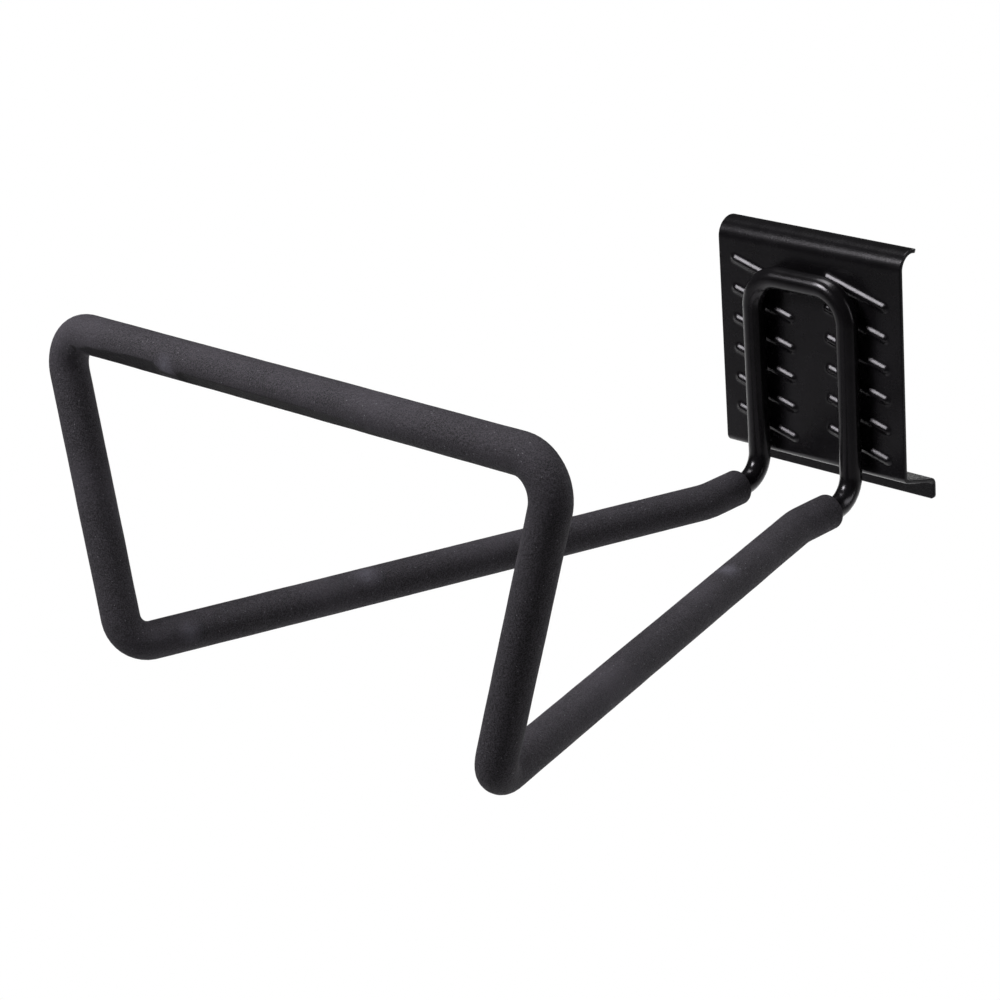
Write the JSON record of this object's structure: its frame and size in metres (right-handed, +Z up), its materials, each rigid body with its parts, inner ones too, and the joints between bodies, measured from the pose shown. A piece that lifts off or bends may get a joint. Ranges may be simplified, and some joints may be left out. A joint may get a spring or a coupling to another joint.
{
  "type": "bicycle wall rack",
  "caption": "Wall rack for a bicycle: two foam-covered arms and a raised crossbar, bent from one steel rod and welded to a plate that hooks into a slotted panel.",
  "frame": {"origin": "middle of the plate's flat back face, where the rack rests on the wall panel", "axes": "+Y out of the plate's back face, into the wall; +X to the right as seen facing the rack; +Z up"},
  "size_m": [0.2832, 0.3436, 0.1521],
  "materials": {
    "sheet_coat": "smooth semi-gloss black powder coat on bent sheet steel",
    "rod_coat": "smooth semi-gloss black powder coat on round steel rod",
    "weld_coat": "black powder coat over weld metal",
    "foam": "matte dark grey closed-cell foam with a fine grain"
  },
  "bodies": {
    "root": {"back_plate": "sheet_coat", "wire_frame": "rod_coat", "closing_weld": "rod_coat", "foam_sleeve": "foam", "rib_weld_left_1": "weld_coat", "rib_weld_left_2": "weld_coat", "rib_weld_left_3": "weld_coat", "rib_weld_left_4": "weld_coat", "rib_weld_left_5": "weld_coat", "rib_weld_right_1": "weld_coat", "rib_weld_right_2": "weld_coat", "rib_weld_right_3": "weld_coat", "rib_weld_right_4": "weld_coat", "rib_weld_right_5": "weld_coat"}
  },
  "joints": []
}
